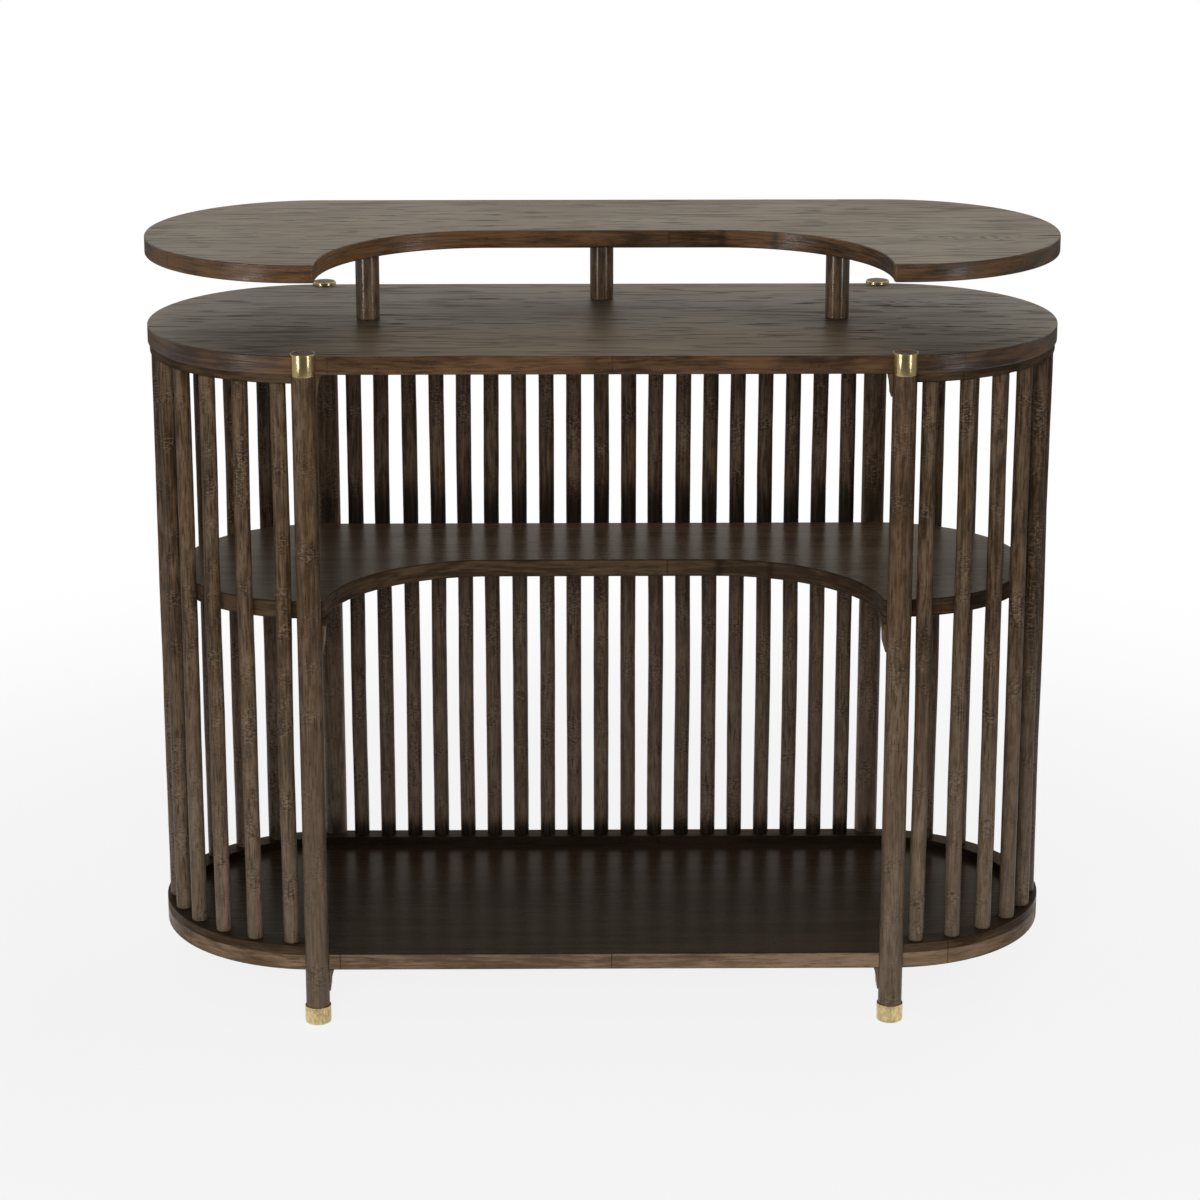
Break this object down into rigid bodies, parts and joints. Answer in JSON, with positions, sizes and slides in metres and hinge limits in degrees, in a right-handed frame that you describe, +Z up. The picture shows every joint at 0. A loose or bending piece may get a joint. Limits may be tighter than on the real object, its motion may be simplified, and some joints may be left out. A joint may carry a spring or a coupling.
{
  "type": "bar table",
  "caption": "Dark wooden bar table with racetrack tops, a raised counter cut away at the front, round legs, inner shelves and a cage of round slats round both ends and the back.",
  "frame": {"origin": "on the floor, at the centre of the table's plan", "axes": "+Z up, +X along the length to the right as seen from the open front, -Y towards the open front"},
  "size_m": [1.22, 0.4802, 1.045],
  "materials": {
    "counter_wood": "dark stained, satin lacquer",
    "shelf_wood": "dark stained, satin lacquer",
    "rail_wood": "dark stained, satin lacquer",
    "slat_wood": "dark stained, satin lacquer",
    "leg_wood": "dark stained, satin lacquer",
    "brass": "polished brass",
    "glide_plastic": "black moulded plastic",
    "screw_steel": "zinc plated steel"
  },
  "bodies": {
    "root": {"riser_top": "counter_wood", "main_top": "counter_wood", "mid_shelf": "shelf_wood", "bottom_shelf": "shelf_wood", "upper_rail": "rail_wood", "lower_rail": "rail_wood", "back_slat_01": "slat_wood", "back_slat_02": "slat_wood", "back_slat_03": "slat_wood", "back_slat_04": "slat_wood", "back_slat_05": "slat_wood", "back_slat_06": "slat_wood", "back_slat_07": "slat_wood", "back_slat_08": "slat_wood", "back_slat_09": "slat_wood", "back_slat_10": "slat_wood", "back_slat_11": "slat_wood", "back_slat_12": "slat_wood", "back_slat_13": "slat_wood", "back_slat_14": "slat_wood", "back_slat_15": "slat_wood", "back_slat_16": "slat_wood", "back_slat_17": "slat_wood", "back_slat_18": "slat_wood", "back_slat_19": "slat_wood", "left_slat_01": "slat_wood", "left_slat_02": "slat_wood", "left_slat_03": "slat_wood", "left_slat_04": "slat_wood", "left_slat_05": "slat_wood", "left_slat_06": "slat_wood", "left_slat_07": "slat_wood", "left_slat_08": "slat_wood", "left_slat_09": "slat_wood", "left_slat_10": "slat_wood", "left_slat_11": "slat_wood", "left_slat_12": "slat_wood", "right_slat_01": "slat_wood", "right_slat_02": "slat_wood", "right_slat_03": "slat_wood", "right_slat_04": "slat_wood", "right_slat_05": "slat_wood", "right_slat_06": "slat_wood", "right_slat_07": "slat_wood", "right_slat_08": "slat_wood", "right_slat_09": "slat_wood", "right_slat_10": "slat_wood", "right_slat_11": "slat_wood", "right_slat_12": "slat_wood", "leg_front_left": "leg_wood", "leg_front_right": "leg_wood", "leg_back_left": "leg_wood", "leg_back_right": "leg_wood", "riser_side_posts": "leg_wood", "riser_rear_post": "leg_wood", "corner_blocks": "leg_wood", "brass_collars": "brass", "brass_ferrules": "brass", "foot_glides": "glide_plastic", "block_screws": "screw_steel"}
  },
  "joints": []
}
